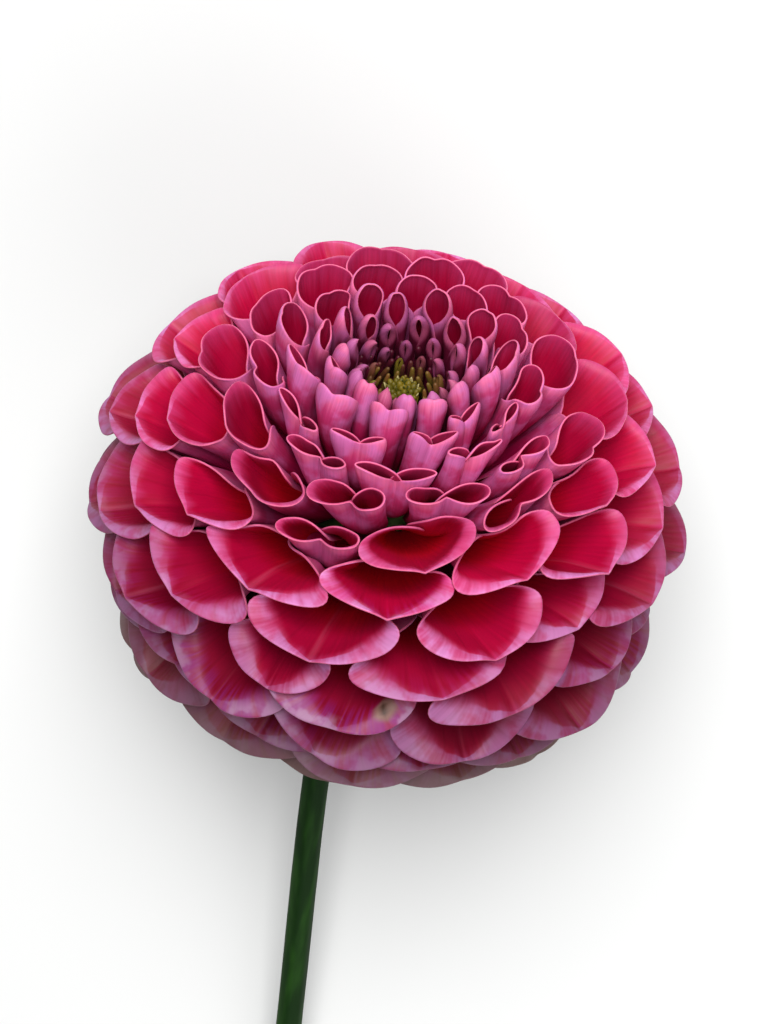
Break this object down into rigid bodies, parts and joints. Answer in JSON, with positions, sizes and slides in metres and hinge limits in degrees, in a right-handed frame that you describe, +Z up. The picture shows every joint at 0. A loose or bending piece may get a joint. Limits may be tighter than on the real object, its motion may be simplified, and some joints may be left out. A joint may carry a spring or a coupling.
{
  "type": "pompon dahlia flower",
  "caption": "Cut pompon dahlia lying on its side: a ball of rolled crimson and lavender florets round a green centre, with leafy bracts and a bent green stem.",
  "frame": {"origin": "middle of the footprint of the lying flower, on the surface it lies on", "axes": "+X from the stem's cut end towards the head, +Z up, +Y to the left seen from the cut end"},
  "size_m": [0.1148, 0.061, 0.055],
  "materials": {
    "floret": "matte, velvety, pale mauve outside and crimson inside",
    "young_floret": "matte, mauve, closed young florets",
    "disc": "matte yellow-green bud scales",
    "bract": "matte leaf green",
    "stem": "satin dark green, soft ribs"
  },
  "bodies": {
    "root": {"florets_001_020": "young_floret", "florets_021_040": "young_floret", "florets_041_060": "floret", "florets_061_080": "floret", "florets_081_100": "floret", "florets_101_120": "floret", "florets_121_140": "floret", "floret_141": "floret", "floret_142": "floret", "floret_143": "floret", "floret_144": "floret", "floret_145": "floret", "floret_146": "floret", "floret_147": "floret", "floret_148": "floret", "floret_149": "floret", "floret_150": "floret", "floret_151": "floret", "floret_152": "floret", "floret_153": "floret", "floret_154": "floret", "floret_155": "floret", "floret_156": "floret", "floret_157": "floret", "floret_158": "floret", "floret_159": "floret", "floret_160": "floret", "floret_161": "floret", "floret_162": "floret", "floret_163": "floret", "floret_164": "floret", "floret_165": "floret", "floret_166": "floret", "floret_167": "floret", "floret_168": "floret", "floret_169": "floret", "floret_170": "floret", "floret_171": "floret", "floret_172": "floret", "floret_173": "floret", "floret_174": "floret", "floret_175": "floret", "floret_176": "floret", "floret_177": "floret", "floret_178": "floret", "floret_179": "floret", "floret_180": "floret", "floret_181": "floret", "floret_182": "floret", "floret_183": "floret", "floret_184": "floret", "floret_185": "floret", "centre_disc": "disc", "outer_bract_1": "bract", "outer_bract_2": "bract", "outer_bract_3": "bract", "outer_bract_4": "bract", "outer_bract_5": "bract", "inner_bracts": "bract", "stem": "stem"}
  },
  "joints": []
}
